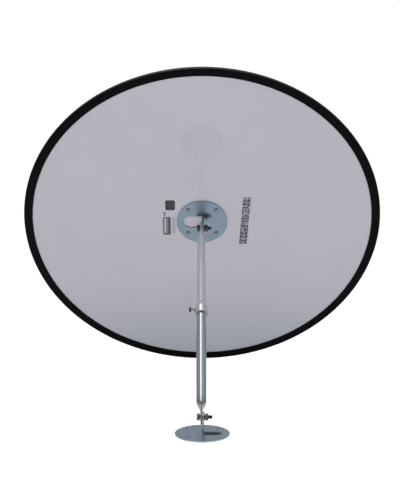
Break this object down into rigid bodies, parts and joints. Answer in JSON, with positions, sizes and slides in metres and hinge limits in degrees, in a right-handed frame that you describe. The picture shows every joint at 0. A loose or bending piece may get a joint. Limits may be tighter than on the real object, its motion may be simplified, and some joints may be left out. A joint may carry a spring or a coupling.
{
  "type": "convex observation mirror on telescopic bracket",
  "caption": "Round convex safety mirror with rubber edge trim and flat back, carried by a telescopic arm that pivots on two punched round plates.",
  "frame": {"origin": "centre of the base plate's mounting face", "axes": "+Z out of the mounting face towards the arm, +X along both pivot bolts towards their nuts, +Y the side the arm leans to"},
  "size_m": [0.6, 0.4975, 0.547],
  "materials": {
    "zinc_plate": "zinc-plated, satin",
    "zinc_tube": "zinc-plated, bright",
    "steel_fastener": "zinc-plated fastener",
    "brass": "turned",
    "nylon": "moulded",
    "plywood": "raw",
    "grey_panel": "smooth, glossy",
    "acrylic_mirror": "mirror, silvered behind clear acrylic",
    "black_rubber": "extruded, satin",
    "label_film": "blank film sticker"
  },
  "bodies": {
    "base": {"base_plate": "zinc_plate", "base_bolt": "steel_fastener", "base_bolt_washer": "steel_fastener", "base_nut_washer": "steel_fastener", "base_nut": "steel_fastener"},
    "outer_arm": {"outer_tube": "zinc_tube", "clamp_collar": "zinc_tube"},
    "clamp_pad_body": {"clamp_pad": "brass"},
    "clamp_screw_body": {"clamp_screw": "steel_fastener"},
    "arm_bush": {"inner_tube_bush": "nylon"},
    "inner_arm": {"inner_tube": "zinc_tube"},
    "mirror_head": {"hub_plate": "zinc_plate", "hub_bolt": "steel_fastener", "hub_bolt_washer": "steel_fastener", "hub_nut_washer": "steel_fastener", "hub_nut": "steel_fastener", "hub_screw_1": "steel_fastener", "hub_screw_2": "steel_fastener", "hub_screw_3": "steel_fastener", "hub_screw_4": "steel_fastener", "hub_screw_nut_1": "steel_fastener", "hub_screw_nut_2": "steel_fastener", "hub_screw_nut_3": "steel_fastener", "hub_screw_nut_4": "steel_fastener", "stiffener_disc": "plywood", "back_panel": "grey_panel", "mirror_dome": "acrylic_mirror", "edge_trim": "black_rubber", "back_label": "label_film"}
  },
  "joints": [
    {"name": "base_pivot", "type": "hinge", "parent": "base", "child": "outer_arm", "pos_m": [0, 0, 0.028], "axis": [1, 0, 0], "range_deg": [-27.6, 132.4]},
    {"name": "arm_extend", "type": "slide", "parent": "outer_arm", "child": "arm_bush", "axis": [0, 0.7923, 0.6101], "range_m": [-0.115, 0.02]},
    {"name": "arm_twist", "type": "hinge", "parent": "arm_bush", "child": "inner_arm", "pos_m": [-0.00145, 0.30662, 0.26413], "axis": [0, 0.7923, 0.6101], "continuous": true},
    {"name": "hub_pivot", "type": "hinge", "parent": "inner_arm", "child": "mirror_head", "pos_m": [0, 0.30662, 0.26413], "axis": [1, 0, 0], "range_deg": [-61.9, 88.1]},
    {"name": "clamp_travel", "type": "slide", "parent": "outer_arm", "child": "clamp_pad_body", "axis": [1, 0, 0], "range_m": [-0.0016, 0]},
    {"name": "clamp_turn", "type": "hinge", "parent": "clamp_pad_body", "child": "clamp_screw_body", "pos_m": [-0.00145, 0.16797, 0.15735], "axis": [1, 0, 0], "range_deg": [-720, 0]}
  ],
  "couplings": [
    {"joint": "clamp_turn", "follows": "clamp_travel", "rad_per_m": 7854}
  ]
}
